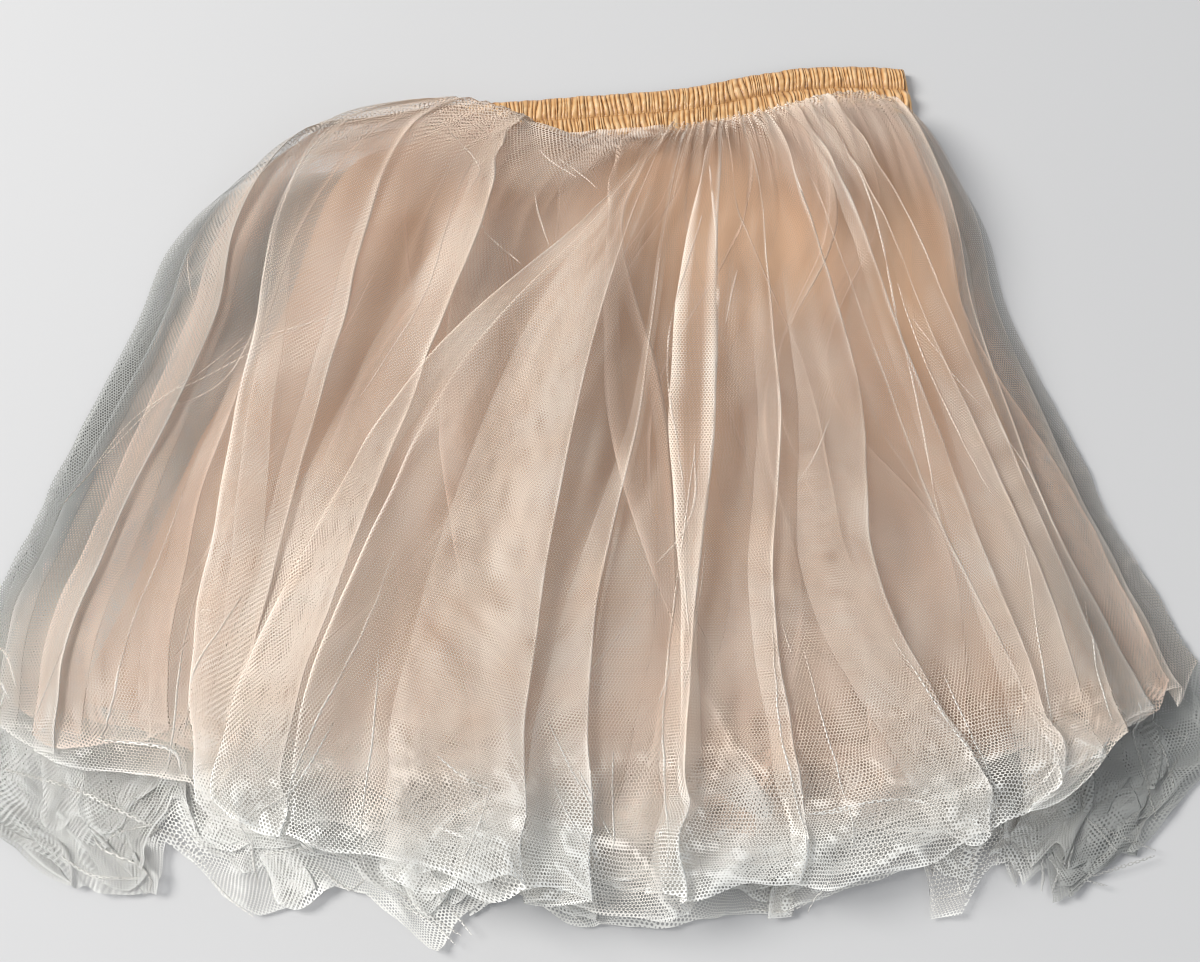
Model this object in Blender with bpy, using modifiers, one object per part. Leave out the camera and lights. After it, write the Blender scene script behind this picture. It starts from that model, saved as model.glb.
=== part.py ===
"""A short tulle skirt with a shirred elastic waistband, laid out on its back on a flat surface.

Three gathered layers of tulle over a lining hang from a casing with two elastic channels. Each
layer has a front and a back panel that meet at the side seams. The backs lie flat on each other
and on the surface. The fronts lie on them, domed and folded, each one clear of the next.

Row frame: +X across the skirt, +Y from the hem to the waist, +Z up. The origin is the middle of
the skirt's footprint, on the surface. Lengths are in metres. "s" runs across a panel from the
left side seam (0) to the right one (1), and "t" runs down it from the waist seam (0) to the
outer tulle's hem (1).
"""

import math

import bmesh
import bpy

# ---------------------------------------------------------------- driving dimensions

CLOTH = 0.001  # wall of every tulle and lining panel
SEAM_GAP = 0.0003  # between two pieces that are sewn together
BACK_PITCH = CLOTH + SEAM_GAP  # from one flat back to the next, wall and air together
FRONT_PITCH = 0.0017  # the same from one front to the next, which are never flat

WAIST_WIDTH = 0.278  # the relaxed waistband, laid flat, without its rounded ends
WAIST_CENTRE = (0.047, 0.2240)  # the middle of the waistband's own middle line
WAIST_TILT = math.radians(5.1)  # how far the waistband is turned from the X axis
ARCH_PLACE, ARCH_SPREAD, ARCH_RISE = 0.80, 0.34, 0.0090  # its soft arch near the right end
BAND_HEIGHT = 0.032
BAND_WALL = 0.0020  # casing and elastic together, on each side
BAND_SLIT = 0.0006  # air inside the flattened waistband
BAND_FOLD = 0.0024  # how far its rounded ends reach past its width

GATHERS = 116  # small pleats across the front of the waistband
GATHER_HEIGHT = 0.0012
CHANNEL_BULGE = 0.0016  # how far each elastic channel stands above its stitch lines
CHANNEL_SIDES = (-1.0, -0.82, -0.45, -0.10, 0.10, 0.45, 0.82, 1.0)  # lower edge to upper edge
BAND_BACK_COLUMNS = 24

# The laid-out skirt, one row for each station from the waist seam to the outer hem: its share of
# the length, where it meets the left seam, the middle and the right seam, and the air under the
# outer front at its middle.
STATION_COLUMNS = ("t", "left_x", "left_y", "mid_x", "mid_y", "right_x", "right_y", "crown")
STATIONS = (
    (0.00, -0.090, 0.1950, 0.0475, 0.2068, 0.1845, 0.2190, 0.0010),
    (0.06, -0.135, 0.1845, 0.0420, 0.1890, 0.1980, 0.2060, 0.0100),
    (0.13, -0.193, 0.1750, 0.0360, 0.1600, 0.2110, 0.1810, 0.0190),
    (0.24, -0.231, 0.1340, 0.0280, 0.1130, 0.2250, 0.1420, 0.0230),
    (0.38, -0.246, 0.0800, 0.0200, 0.0500, 0.2320, 0.0880, 0.0240),
    (0.52, -0.268, 0.0150, 0.0120, -0.0200, 0.2520, 0.0250, 0.0250),
    (0.67, -0.290, -0.0550, 0.0050, -0.0900, 0.2740, -0.0400, 0.0260),
    (0.83, -0.316, -0.1250, 0.0000, -0.1600, 0.3010, -0.1050, 0.0250),
    (0.94, -0.314, -0.1780, 0.0000, -0.2110, 0.3170, -0.1500, 0.0180),
    (1.00, -0.292, -0.2050, 0.0000, -0.2380, 0.3040, -0.1790, 0.0120),
)
SEAM_REACH = 0.16  # where along t the panels stop following the waistband's lower edge

# Rolls of tulle that puff up beside the waist seam and lie over the waistband.
PUFF_COLUMNS = ("place", "spread", "push", "lift")
PUFFS = (
    (0.13, 0.23, 0.028, 0.008),
    (0.83, 0.22, 0.013, 0.004),
)
PUFF_PEAK, PUFF_END = 0.06, 0.30  # where along t a puff is highest, and where it has died out

# The folds of the outer front, left to right: where each one leaves the waist seam, where it
# reaches the hem, and how far its ridge stands above the valleys beside it.
OUTER_FOLDS = (
    (0.030, 0.030, 0.007),
    (0.070, 0.072, 0.010),
    (0.110, 0.118, 0.008),
    (0.150, 0.160, 0.013),
    (0.190, 0.200, 0.009),
    (0.235, 0.238, 0.007),
    (0.280, 0.276, 0.010),
    (0.330, 0.312, 0.012),
    (0.380, 0.352, 0.008),
    (0.428, 0.392, 0.007),
    (0.475, 0.450, 0.014),
    (0.520, 0.498, 0.008),
    (0.565, 0.540, 0.010),
    (0.610, 0.582, 0.013),
    (0.655, 0.626, 0.008),
    (0.697, 0.668, 0.010),
    (0.737, 0.712, 0.007),
    (0.777, 0.760, 0.012),
    (0.817, 0.806, 0.009),
    (0.857, 0.852, 0.012),
    (0.897, 0.894, 0.008),
    (0.937, 0.934, 0.010),
    (0.972, 0.970, 0.006),
)
WAIST_FOLD_SHARE = 0.12  # how much of its height a fold has at the waist seam
FULL_FOLD = 0.55  # where along t it has all of it

# How far the hem's lobes reach past its plain line, for the fronts and for the backs below them.
LOBE_COLUMNS = ("place", "spread", "reach")
FRONT_LOBES = (
    (0.07, 0.05, 0.006),
    (0.24, 0.06, 0.008),
    (0.41, 0.05, 0.005),
    (0.56, 0.07, 0.009),
    (0.72, 0.05, 0.004),
    (0.90, 0.06, 0.007),
)
BACK_LOBES = (
    (0.10, 0.055, 0.012),
    (0.21, 0.050, 0.016),
    (0.36, 0.040, 0.020),
    (0.53, 0.065, 0.014),
    (0.67, 0.060, 0.009),
    (0.79, 0.040, 0.018),
    (0.90, 0.050, 0.015),
)
LOBE_START = 0.80  # where along t the lobes begin

# The layers from the outside in: how many folds the front has and how many columns of wall each
# of its slopes has, the share of the outer length that the layer hangs to, the share of the outer
# front's air that lies under it, and the powers of its dome, which is boxier at the waist.
LAYER_COLUMNS = ("name", "folds", "steps", "length", "loft", "waist_power", "hem_power")
LAYERS = (
    ("tulle_outer", len(OUTER_FOLDS), 4, 1.00, 1.00, 12.0, 4.0),
    ("tulle_middle", 18, 2, 0.98, 0.66, 18.0, 4.5),
    ("tulle_inner", 14, 2, 0.96, 0.34, 34.0, 8.0),
    ("lining", 10, 2, 0.92, 0.05, 8.0, 4.0),
)
SIDE_INSET = 0.030  # how much narrower each next layer lies, in s, on each side
FOLD_ROOM = 0.70  # share of the air between two layers that the lower one's folds may fill
PUFF_RIM = 0.75  # the share of the dome at which the puffs begin
OUTER_ROWS = (0.0, 0.02, 0.04, 0.06, 0.09, 0.13, 0.20, 0.30, 0.43, 0.57, 0.71, 0.83, 0.92, 1.0)
INNER_ROWS = (0.0, 0.06, 0.14, 0.30, 0.50, 0.70, 0.86, 1.0)
BACK_ROWS = (0.0, 0.06, 0.14, 0.30, 0.55, 0.80, 0.91, 1.0)
BACK_COLUMNS = 24

# Base colour and roughness, both of a cloth seen from near.
FINISHES = {
    "waistband": ((0.66, 0.40, 0.19), 0.32),
    "tulle_outer": ((0.80, 0.73, 0.65), 0.60),
    "tulle_middle": ((0.78, 0.70, 0.61), 0.60),
    "tulle_inner": ((0.76, 0.67, 0.57), 0.60),
    "lining": ((0.60, 0.42, 0.30), 0.45),
}


# ---------------------------------------------------------------- curves and profiles


def named(columns, row):
    return dict(zip(columns, row))


def ease(value):
    """0 below 0, 1 above 1, and a smooth step between."""
    clipped = min(max(value, 0.0), 1.0)
    return clipped * clipped * (3 - 2 * clipped)


def bump(distance, spread):
    """1 at distance 0, falling smoothly to 0 at spread."""
    if abs(distance) >= spread:
        return 0.0
    return math.cos(math.pi / 2 * distance / spread) ** 2


def through_stations(column, t):
    """The value of one station column at t, on a smooth curve through the rows."""
    last = len(STATIONS) - 1
    at = next((i for i in range(last) if t <= STATIONS[i + 1][0]), last - 1)
    start, end = STATIONS[at], STATIONS[at + 1]
    before, after = STATIONS[max(at - 1, 0)], STATIONS[min(at + 2, last)]
    step = end[0] - start[0]
    share = (t - start[0]) / step
    leave = step * (end[column] - before[column]) / (end[0] - before[0])
    arrive = step * (after[column] - start[column]) / (after[0] - start[0])
    return (
        start[column] * (1 + 2 * share) * (1 - share) ** 2
        + end[column] * share**2 * (3 - 2 * share)
        + leave * share * (1 - share) ** 2
        - arrive * share**2 * (1 - share)
    )


def station(t):
    values = [through_stations(column, t) for column in range(1, len(STATION_COLUMNS))]
    return named(STATION_COLUMNS[1:], values)


def across(row, s):
    """The point at s on the curve through a station's left, middle and right points."""
    left, middle, right = (1 - s) * (1 - 2 * s), 4 * s * (1 - s), s * (2 * s - 1)
    x = left * row["left_x"] + middle * row["mid_x"] + right * row["right_x"]
    y = left * row["left_y"] + middle * row["mid_y"] + right * row["right_y"]
    return x, y


def waist_point(along, over):
    """A point by its distances from the waistband's middle: along it, and over its middle line."""
    s = along / WAIST_WIDTH + 0.5
    over += ARCH_RISE * bump(s - ARCH_PLACE, ARCH_SPREAD)
    x = WAIST_CENTRE[0] + along * math.cos(WAIST_TILT) - over * math.sin(WAIST_TILT)
    y = WAIST_CENTRE[1] + along * math.sin(WAIST_TILT) + over * math.cos(WAIST_TILT)
    return x, y


def panel_point(s, t):
    """The place of s and t on the laid-out skirt, which starts on the waistband's lower edge."""
    x, y = across(station(t), s)
    start_x, start_y = across(station(0.0), s)
    seam_x, seam_y = waist_point((s - 0.5) * WAIST_WIDTH, -BAND_HEIGHT / 2 - SEAM_GAP)
    hold = 1 - ease(t / SEAM_REACH)
    return x + hold * (seam_x - start_x), y + hold * (seam_y - start_y)


def puff(s, t):
    """How far the outer tulle is pushed over the waistband, and lifted: (push, lift)."""
    if t < PUFF_PEAK:
        swell = ease(t / PUFF_PEAK)
    else:
        swell = 1 - ease((t - PUFF_PEAK) / (PUFF_END - PUFF_PEAK))
    push = lift = 0.0
    for row in PUFFS:
        roll = named(PUFF_COLUMNS, row)
        share = swell * bump(s - roll["place"], roll["spread"])
        push += share * roll["push"]
        lift += share * roll["lift"]
    return push, lift


def lobe(lobes, s, t):
    """How far the hem reaches below its plain line."""
    reach = 0.0
    for row in lobes:
        one = named(LOBE_COLUMNS, row)
        reach += one["reach"] * bump(s - one["place"], one["spread"])
    return reach * ease((t - LOBE_START) / (1 - LOBE_START))


# ---------------------------------------------------------------- folds


def even_folds(count, turn):
    """Folds for a hidden layer, each with its height as a share of the room for it."""
    folds = []
    for i in range(count):
        place = (i + 0.75 + 0.20 * math.sin(2.4 * i + turn)) / (count + 0.5)
        drift = 0.20 * math.sin(1.7 * i + 2 * turn) / count
        folds.append((place, place + drift, 0.60 + 0.40 * math.cos(2.9 * i + turn)))
    return tuple(folds)


def fold_place(folds, u, t):
    """s of column u, where column i + 1 runs down the ridge of fold i."""
    lean = ease(t)
    ridges = [waist + (hem - waist) * lean for waist, hem, _ in folds]
    knots = [0.0, *ridges, 1.0]
    at = min(int(u), len(knots) - 2)
    return knots[at] + (knots[at + 1] - knots[at]) * (u - at)


def fold_height(folds, u, t):
    """Height over the valleys at column u: the fold's own height on its ridge."""
    nearest = round(u)
    if not 1 <= nearest <= len(folds):
        return 0.0
    grown = WAIST_FOLD_SHARE + (1 - WAIST_FOLD_SHARE) * ease(t / FULL_FOLD)
    return folds[nearest - 1][2] * bump(u - nearest, 0.5) * grown


# ---------------------------------------------------------------- building


def material(name, finish):
    colour, roughness = FINISHES[finish]
    made = bpy.data.materials.new(name)
    made.use_nodes = True
    surface = made.node_tree.nodes["Principled BSDF"]
    surface.inputs["Base Color"].default_value = (*colour, 1.0)
    surface.inputs["Roughness"].default_value = roughness
    surface.inputs["Metallic"].default_value = 0.0
    made.diffuse_color = (*colour, 1.0)
    return made


def object_from(shape, name, finish):
    mesh = bpy.data.meshes.new(name)
    shape.to_mesh(mesh)
    shape.free()
    mesh.materials.append(material(name, finish))
    mesh.shade_smooth()
    made = bpy.data.objects.new(name, mesh)
    SKIRT.objects.link(made)
    return made


def cloth_panel(name, finish, columns, rows, place):
    """A sheet of columns by rows faces, each corner set by place(column, row), with its wall."""
    shape = bmesh.new()
    bmesh.ops.create_grid(shape, x_segments=columns, y_segments=rows, size=0.5)
    for corner in shape.verts:
        column = round((corner.co.x + 0.5) * columns)
        row = round((0.5 - corner.co.y) * rows)
        corner.co = place(column, row)
    panel = object_from(shape, name, finish)
    wall = panel.modifiers.new("wall", "SOLIDIFY")
    wall.thickness = CLOTH
    wall.offset = -1.0
    return panel


def front_panel(depth, layer):
    """One domed and folded front. depth counts the layers that lie over it."""
    folds = even_folds(layer["folds"], depth) if depth else OUTER_FOLDS
    rows = INNER_ROWS if depth else OUTER_ROWS
    base = CLOTH + (depth + 1) * BACK_PITCH
    stack = (len(LAYERS) - 1 - depth) * (BACK_PITCH + FRONT_PITCH)
    inset = SIDE_INSET * depth
    if depth:
        above = named(LAYER_COLUMNS, LAYERS[depth - 1])
        room = FOLD_ROOM * (above["loft"] - layer["loft"])

    def place(column, row):
        t = rows[row] * layer["length"]
        u = column / layer["steps"]
        own = fold_place(folds, u, t)
        s = inset + own * (1 - 2 * inset)
        x, y = panel_point(s, t)
        y -= lobe(FRONT_LOBES, s, t)
        crown = station(t)["crown"]
        power = layer["waist_power"] + (layer["hem_power"] - layer["waist_power"]) * ease(2 * t)
        dome = 1 - abs(2 * own - 1) ** power
        ridge = fold_height(folds, u, t)
        if depth:
            ridge *= room * crown * dome
        else:
            push, lift = puff(s, t)
            over_band = ease((dome - PUFF_RIM) / (1 - PUFF_RIM))
            y += push * over_band
            ridge += lift * over_band
        return x, y, base + dome * (stack + layer["loft"] * crown) + ridge

    columns = layer["steps"] * (len(folds) + 1)
    name = f"{layer['name']}_front"
    return cloth_panel(name, layer["name"], columns, len(rows) - 1, place)


def back_panel(depth, layer):
    """One flat back. The outer layer's lies on the surface."""
    inset = SIDE_INSET * depth

    def place(column, row):
        t = BACK_ROWS[row] * layer["length"]
        s = inset + column / BACK_COLUMNS * (1 - 2 * inset)
        x, y = panel_point(s, t)
        return x, y - lobe(BACK_LOBES, s, t), CLOTH + depth * BACK_PITCH

    name = f"{layer['name']}_back"
    return cloth_panel(name, layer["name"], BACK_COLUMNS, len(BACK_ROWS) - 1, place)


def band_ring(side, outside):
    """One ring round the flattened waistband, at side -1 (its lower edge) to 1 (its upper one)."""
    over = side * BAND_HEIGHT / 2
    end = WAIST_WIDTH / 2
    reach = BAND_FOLD if outside else BAND_FOLD - BAND_WALL
    middle = BAND_WALL + BAND_SLIT / 2
    swell = abs(math.sin(math.pi * side))
    columns = 2 * GATHERS
    ring = [(*waist_point(-end - reach, over), middle)]
    for column in range(columns + 1):
        z = BAND_WALL + BAND_SLIT
        if outside:
            crest = (column % 2) * (0.7 + 0.3 * math.sin(1.9 * column + 4 * side))
            z += BAND_WALL + swell * CHANNEL_BULGE
            z += GATHER_HEIGHT * crest * (0.30 + 0.70 * swell)
        along = end * (2 * column / columns - 1)
        ring.append((*waist_point(along, over), z))
    ring.append((*waist_point(end + reach, over), middle))
    for column in range(BAND_BACK_COLUMNS + 1):
        along = end * (1 - 2 * column / BAND_BACK_COLUMNS)
        ring.append((*waist_point(along, over), 0.0 if outside else BAND_WALL))
    return ring


def waistband():
    """The casing as one flattened tube: outer rings up to its upper edge, then the inside."""
    rings = [band_ring(side, True) for side in CHANNEL_SIDES]
    rings.append(band_ring(1.0, False))
    rings.insert(0, band_ring(-1.0, False))
    shape = bmesh.new()
    corners = [[shape.verts.new(point) for point in ring] for ring in rings]
    for i, ring in enumerate(corners):
        above = corners[(i + 1) % len(corners)]
        for j in range(len(ring)):
            k = (j + 1) % len(ring)
            shape.faces.new((ring[j], ring[k], above[k], above[j]))
    bmesh.ops.recalc_face_normals(shape, faces=shape.faces)
    return object_from(shape, "waistband", "waistband")


for old in list(bpy.data.objects):
    bpy.data.objects.remove(old, do_unlink=True)
SKIRT = bpy.data.collections.new("tulle_skirt")
bpy.context.scene.collection.children.link(SKIRT)

waistband()
for place_in_stack, values in enumerate(LAYERS):
    front_panel(place_in_stack, named(LAYER_COLUMNS, values))
    back_panel(place_in_stack, named(LAYER_COLUMNS, values))
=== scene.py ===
"""The look of the laid-out tulle skirt: folded see-through net, a satin lining and a shirred waistband.

Every net panel is one sheet of cloth whose columns run from the waist seam to the hem. A column
crosses folds that lap over each other, so two or three walls of net show where they lie on each
other, as on the real skirt. Lengths are in metres, in the CAD's frame. "s" runs across the
laid-out skirt from its left side seam (0) to the right one (1), and "t" down it from the waist
seam (0) to the outer hem (1).
"""

import math
from types import SimpleNamespace

import bpy
import numpy as np
from mathutils.bvhtree import BVHTree
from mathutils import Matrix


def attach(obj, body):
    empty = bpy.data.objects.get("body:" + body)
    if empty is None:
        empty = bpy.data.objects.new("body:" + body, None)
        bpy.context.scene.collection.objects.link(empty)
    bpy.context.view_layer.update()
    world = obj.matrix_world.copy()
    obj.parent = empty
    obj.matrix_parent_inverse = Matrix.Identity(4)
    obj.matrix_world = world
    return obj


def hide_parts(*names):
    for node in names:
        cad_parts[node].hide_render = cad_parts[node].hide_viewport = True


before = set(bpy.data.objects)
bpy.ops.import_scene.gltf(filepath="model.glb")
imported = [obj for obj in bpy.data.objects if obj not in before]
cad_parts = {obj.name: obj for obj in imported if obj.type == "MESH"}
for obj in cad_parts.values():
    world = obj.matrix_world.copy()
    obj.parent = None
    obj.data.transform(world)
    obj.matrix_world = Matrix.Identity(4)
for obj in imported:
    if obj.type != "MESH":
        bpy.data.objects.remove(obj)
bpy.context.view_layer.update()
scene = bpy.context.scene

# ---------- the layout, as in the CAD

WAIST_WIDTH = 0.278
WAIST_CENTRE = (0.047, 0.2240)
WAIST_TILT = math.radians(5.1)
ARCH_PLACE, ARCH_SPREAD, ARCH_RISE = 0.80, 0.34, 0.0090
BAND_HEIGHT = 0.032
BAND_WALL, BAND_SLIT, BAND_FOLD = 0.0020, 0.0006, 0.0024
SEAM_REACH = 0.16
SEAM_TUCK = 0.0010  # of net under the waistband's lower edge

STATION_COLUMNS = ("t", "left_x", "left_y", "mid_x", "mid_y", "right_x", "right_y", "crown")
STATIONS = np.array((
    (0.00, -0.090, 0.1950, 0.0475, 0.2068, 0.1845, 0.2190, 0.0010),
    (0.06, -0.135, 0.1845, 0.0420, 0.1890, 0.1980, 0.2060, 0.0100),
    (0.13, -0.193, 0.1750, 0.0360, 0.1600, 0.2110, 0.1810, 0.0190),
    (0.24, -0.231, 0.1340, 0.0280, 0.1130, 0.2250, 0.1420, 0.0230),
    (0.38, -0.246, 0.0800, 0.0200, 0.0500, 0.2320, 0.0880, 0.0240),
    (0.52, -0.268, 0.0150, 0.0120, -0.0200, 0.2520, 0.0250, 0.0250),
    (0.67, -0.290, -0.0550, 0.0050, -0.0900, 0.2740, -0.0400, 0.0260),
    (0.83, -0.316, -0.1250, 0.0000, -0.1600, 0.3010, -0.1050, 0.0250),
    (0.94, -0.314, -0.1780, 0.0000, -0.2110, 0.3170, -0.1500, 0.0180),
    (1.00, -0.292, -0.2050, 0.0000, -0.2380, 0.3040, -0.1790, 0.0120),
))

PUFF_COLUMNS = ("place", "spread", "push", "lift")
PUFFS = (
    (0.13, 0.23, 0.028, 0.008),
    (0.83, 0.22, 0.013, 0.004),
)
PUFF_PEAK, PUFF_END = 0.06, 0.30  # t where a puff is fullest, and where it ends
SIDE_ROLL = 0.08  # s from a side seam to a puff's full size


def named(columns, row):
    """A table's row, its columns as attributes."""
    return SimpleNamespace(**dict(zip(columns, row)))


def ease(value):
    """0 below 0, 1 above 1, and a smooth step between."""
    clipped = np.clip(value, 0.0, 1.0)
    return clipped * clipped * (3 - 2 * clipped)


def bump(distance, spread):
    """1 at no distance, falling smoothly to 0 at spread."""
    near = np.clip(np.abs(distance) / spread, 0.0, 1.0)
    return np.cos(math.pi / 2 * near) ** 2


def curve(knots, values, at):
    """The smooth curve through values at knots (Catmull-Rom), read at every number in at."""
    knots = np.asarray(knots, float)
    values = np.asarray(values, float)
    last = len(knots) - 1
    i = np.clip(np.searchsorted(knots, at, side="right") - 1, 0, last - 1)
    before, after = np.maximum(i - 1, 0), np.minimum(i + 2, last)
    step = knots[i + 1] - knots[i]
    share = (at - knots[i]) / step
    leave = step * (values[i + 1] - values[before]) / (knots[i + 1] - knots[before])
    arrive = step * (values[after] - values[i]) / (knots[after] - knots[i])
    return (
        values[i] * (1 + 2 * share) * (1 - share) ** 2
        + values[i + 1] * share**2 * (3 - 2 * share)
        + leave * share * (1 - share) ** 2
        - arrive * share**2 * (1 - share)
    )


def station(column, t):
    """One column of STATIONS, read along t."""
    at = STATION_COLUMNS.index(column)
    return curve(STATIONS[:, 0], STATIONS[:, at], t)


def waist_point(along, over):
    """x and y of a place along and over the waistband's middle line, in metres."""
    s = along / WAIST_WIDTH + 0.5
    over = over + ARCH_RISE * bump(s - ARCH_PLACE, ARCH_SPREAD)
    x = WAIST_CENTRE[0] + along * math.cos(WAIST_TILT) - over * math.sin(WAIST_TILT)
    y = WAIST_CENTRE[1] + along * math.sin(WAIST_TILT) + over * math.cos(WAIST_TILT)
    return x, y


def layout(s, t):
    """x and y of s and t on the laid-out skirt."""
    seam_x, seam_y = waist_point((s - 0.5) * WAIST_WIDTH, SEAM_TUCK - BAND_HEIGHT / 2)
    hold = 1 - ease(t / SEAM_REACH)
    weights = {"left": (1 - s) * (1 - 2 * s), "mid": 4 * s * (1 - s), "right": s * (2 * s - 1)}
    x = y = 0.0
    for side, weight in weights.items():
        start_x, start_y = station(f"{side}_x", 0.0), station(f"{side}_y", 0.0)
        x = x + weight * (station(f"{side}_x", t) - hold * start_x)
        y = y + weight * (station(f"{side}_y", t) - hold * start_y)
    return x + hold * seam_x, y + hold * seam_y


def puff(s, t):
    """How far the outer net is pushed over the waistband, and lifted."""
    falling = 1 - ease((t - PUFF_PEAK) / (PUFF_END - PUFF_PEAK))
    swell = np.where(t < PUFF_PEAK, ease(t / PUFF_PEAK), falling)
    swell = swell * ease(s / SIDE_ROLL) * ease((1 - s) / SIDE_ROLL)
    push = lift = 0.0
    for row in PUFFS:
        roll = named(PUFF_COLUMNS, row)
        share = swell * bump(s - roll.place, roll.spread)
        push = push + share * roll.push
        lift = lift + share * roll.lift
    return push, lift


# ---------- the folds

LENGTH = 0.46  # of the outer net, from the waist seam to t = 1
WIDE_T = 0.78  # t where the cloth's width is measured
FOLD_STATIONS = (0.0, 0.2, 0.45, 0.7, 1.0)  # t where a fold's place is given
LAP_STATIONS = (0.0, 0.45, 1.0)  # t where its lap is given

# A front's folds, left to right: where the crisp edge runs, in s, at each fold station, how far the
# cloth laps under it at each lap station (to its left where positive, to its right where
# negative), and how high the edge stands, in metres.
FOLD_COLUMNS = ("s0", "s1", "s2", "s3", "s4", "lap0", "lap1", "lap2", "height")
OUTER_FRONT_FOLDS = (
    (0.020, 0.030, 0.030, 0.022, 0.030, -0.004, -0.012, -0.020, 0.004),
    (0.060, 0.070, 0.085, 0.080, 0.085, 0.006, 0.014, 0.022, 0.005),
    (0.100, 0.105, 0.125, 0.160, 0.200, -0.006, -0.030, -0.060, 0.007),
    (0.150, 0.190, 0.200, 0.215, 0.235, 0.004, 0.020, 0.018, 0.005),
    (0.215, 0.300, 0.285, 0.272, 0.265, 0.012, 0.060, 0.070, 0.008),
    (0.480, 0.432, 0.290, 0.235, 0.215, -0.006, -0.020, -0.030, 0.012),
    (0.487, 0.474, 0.450, 0.444, 0.446, 0.004, 0.090, 0.110, 0.014),
    (0.520, 0.515, 0.512, 0.490, 0.500, 0.004, 0.010, 0.060, 0.006),
    (0.575, 0.545, 0.540, 0.562, 0.555, -0.006, -0.012, -0.020, 0.007),
    (0.592, 0.582, 0.592, 0.575, 0.560, 0.006, 0.014, 0.022, 0.010),
    (0.630, 0.640, 0.662, 0.645, 0.655, 0.006, 0.026, 0.014, 0.005),
    (0.672, 0.700, 0.752, 0.740, 0.800, 0.008, 0.070, 0.050, 0.008),
    (0.712, 0.760, 0.820, 0.843, 0.850, 0.008, 0.018, 0.030, 0.008),
    (0.732, 0.792, 0.858, 0.890, 0.880, 0.006, 0.014, 0.024, 0.009),
    (0.770, 0.822, 0.892, 0.912, 0.905, 0.010, 0.050, 0.080, 0.011),
    (0.925, 0.920, 0.930, 0.926, 0.935, 0.008, 0.030, 0.026, 0.007),
    (0.972, 0.972, 0.975, 0.974, 0.970, 0.004, 0.008, 0.014, 0.004),
)
MIDDLE_LEFT_FOLDS = (
    (0.060, 0.034, 0.028, 0.030, 0.036, -0.014, -0.036, -0.040, 0.006),
    (0.130, 0.112, 0.104, 0.112, 0.150, 0.006, 0.012, 0.030, 0.004),
)
FOLD_GROWN = 0.35  # t where a fold has its whole height
FOLD_WAIST_HEIGHT = 0.25  # share of a fold's height at the waist seam
FOLD_WANDER = 0.0013  # how far a fold's edge strays, in s
TUCK_EVERY = 0.075  # metres of a wall for each small tuck
TUCK_FADE = 0.12  # t that a tuck takes to rise, and to fade
TUCK_SIZES = (0.0010, 0.0034)  # least and greatest half width, in s
TUCK_RISES = (0.0002, 0.0008)  # least and greatest height, in metres
LINE_WAVES = 6  # waves that make one line uneven
WANDER_SEED, WOBBLE_SEED, STRENGTH_SEED = 600, 400, 500


def waves(u, v, seed, longest, shortest, count=14):
    """A smooth uneven surface from about -1 to 1, made of mixed waves."""
    draw = np.random.default_rng(seed)
    total = np.zeros(np.broadcast(u, v).shape)
    for _ in range(count):
        length = math.exp(draw.uniform(math.log(shortest), math.log(longest)))
        heading = draw.uniform(0, math.tau)
        phase = draw.uniform(0, math.tau)
        along = u * math.cos(heading) + v * math.sin(heading)
        total += np.sin(math.tau * along / length + phase) * (length / longest) ** 0.5
    return total / math.sqrt(count)


def loose_folds(count, seed, tallest, first=0.03, last=0.97, slant=0.5, widest=0.45):
    """Uneven folds for a hidden layer or a back."""
    draw = np.random.default_rng(seed)
    folds = []
    for i in range(count):
        place = first + (last - first) * (i + 0.5 + draw.uniform(-0.30, 0.30)) / count
        lean = draw.uniform(-slant, slant) / count
        sway = lean * np.array((0.0, 0.4, 0.9, 1.4, 2.0)) + draw.uniform(-0.25, 0.25, 5) / count
        side = draw.choice((-1, 1))
        lap = draw.uniform(0.12, widest) / count
        laps = side * lap * np.array((0.3, draw.uniform(0.5, 1.1), draw.uniform(0.7, 1.4)))
        folds.append((*np.clip(place + sway, 0.005, 0.995), *laps, tallest * draw.uniform(0.35, 1.0)))
    return tuple(folds)


def fold_knots(folds, t):
    """The knots that the cloth runs through: s and height, knot by row, and how sharp each is."""
    flat = np.zeros_like(t)
    knots = [(flat, flat, 0.0)]
    grown = ease(t / FOLD_GROWN)
    for number, row in enumerate(folds):
        fold = named(FOLD_COLUMNS, row)
        uneven = waves(t * LENGTH, 0.0, WANDER_SEED + number, 0.14, 0.03, LINE_WAVES)
        edge = curve(FOLD_STATIONS, row[:5], t) + FOLD_WANDER * grown * uneven
        lap = curve(LAP_STATIONS, row[5:8], t)
        height = fold.height * (FOLD_WAIST_HEIGHT + (1 - FOLD_WAIST_HEIGHT) * grown)
        crisp, hidden = (edge, height, 1.0), (edge - lap, flat, 0.0)
        knots += (crisp, hidden) if fold.lap2 > 0 else (hidden, crisp)
    knots.append((np.ones_like(t), flat, 0.0))
    places, heights, edges = (np.array(column) for column in zip(*knots))
    return np.clip(places, 0.0, 1.0), heights, edges


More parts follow.
